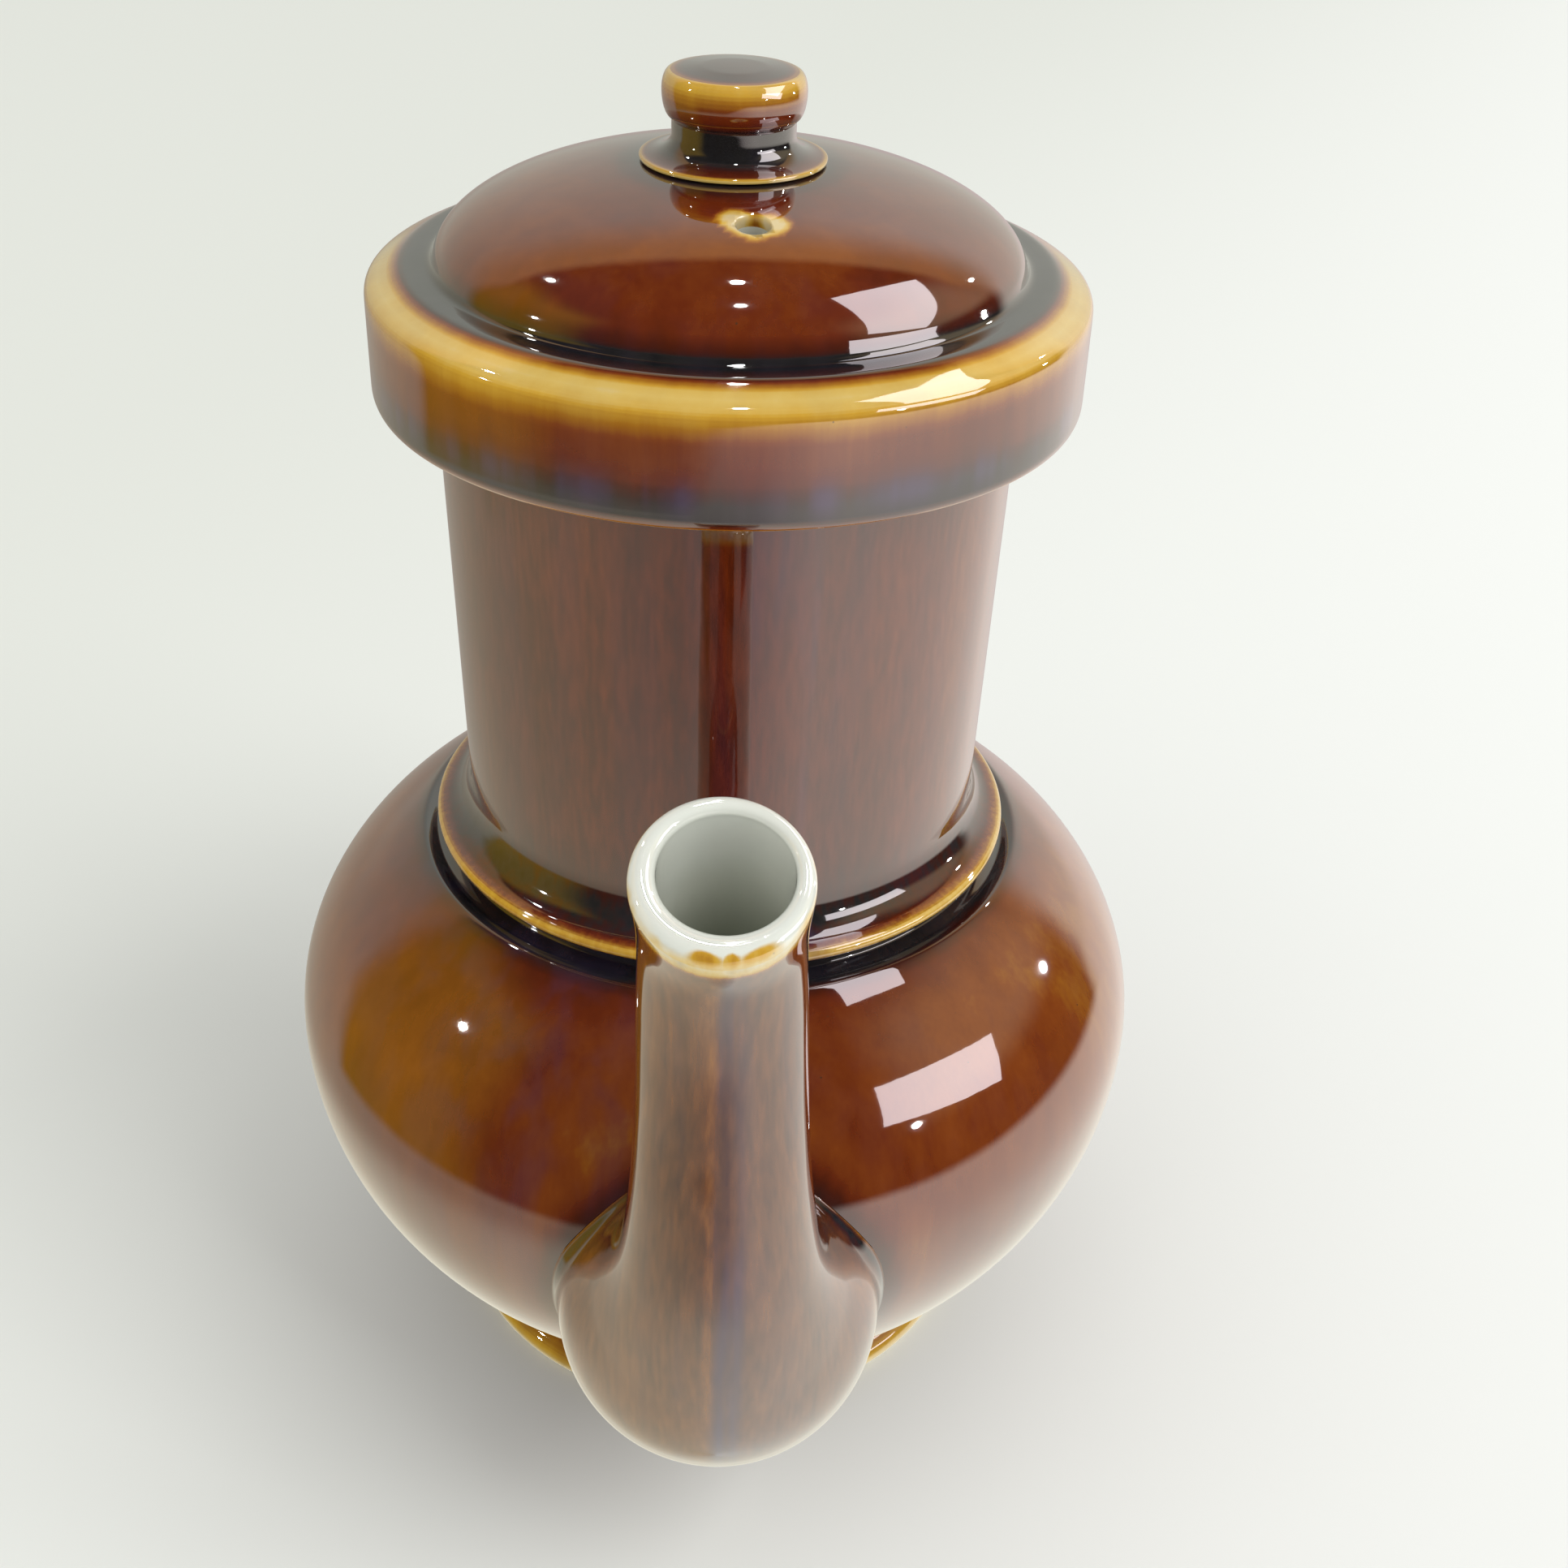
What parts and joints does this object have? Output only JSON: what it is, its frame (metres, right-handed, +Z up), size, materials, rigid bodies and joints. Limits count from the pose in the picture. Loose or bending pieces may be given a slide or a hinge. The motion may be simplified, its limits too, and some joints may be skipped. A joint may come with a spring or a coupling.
{
  "type": "two-storey drip coffee pot",
  "caption": "Glazed ceramic drip coffee pot: bellied pot with a tall spout and ear handle, a drip chamber with sieve and water spreader in its mouth, and a domed lift-off lid with a knob.",
  "frame": {"origin": "centre of the foot ring's resting face, on the pot's axis, at the middle of the bottom of the bounding box", "axes": "+Z up along the pot's axis, -Y towards the spout, +Y towards the handle, +X to the right seen from the spout side"},
  "size_m": [0.1532, 0.208, 0.2303],
  "materials": {
    "brown_glaze": "glossy reddish-brown glaze that pools dark blue-black in hollows and breaks to amber on edges",
    "spout_glaze": "glossy brown glaze with a violet-blue sheen and faint vertical streaks, white inside",
    "knob_glaze": "glossy brown glaze with a broad amber band round the shoulder",
    "white_glaze": "glossy white glaze"
  },
  "bodies": {
    "pot": {"pot_body": "brown_glaze", "spout": "spout_glaze", "handle": "brown_glaze"},
    "filter": {"filter_chamber": "brown_glaze", "filter_sieve": "white_glaze"},
    "spreader": {"water_spreader": "white_glaze", "spreader_knob": "white_glaze"},
    "lid": {"lid_shell": "brown_glaze", "lid_knob": "knob_glaze"}
  },
  "joints": [
    {"name": "filter_lift", "type": "slide", "parent": "pot", "child": "filter", "axis": [0, 0, 1], "range_m": [0, 0.08]},
    {"name": "spreader_lift", "type": "slide", "parent": "filter", "child": "spreader", "axis": [0, 0, 1], "range_m": [0, 0.06]},
    {"name": "lid_lift", "type": "slide", "parent": "spreader", "child": "lid", "axis": [0, 0, 1], "range_m": [0, 0.06]}
  ]
}
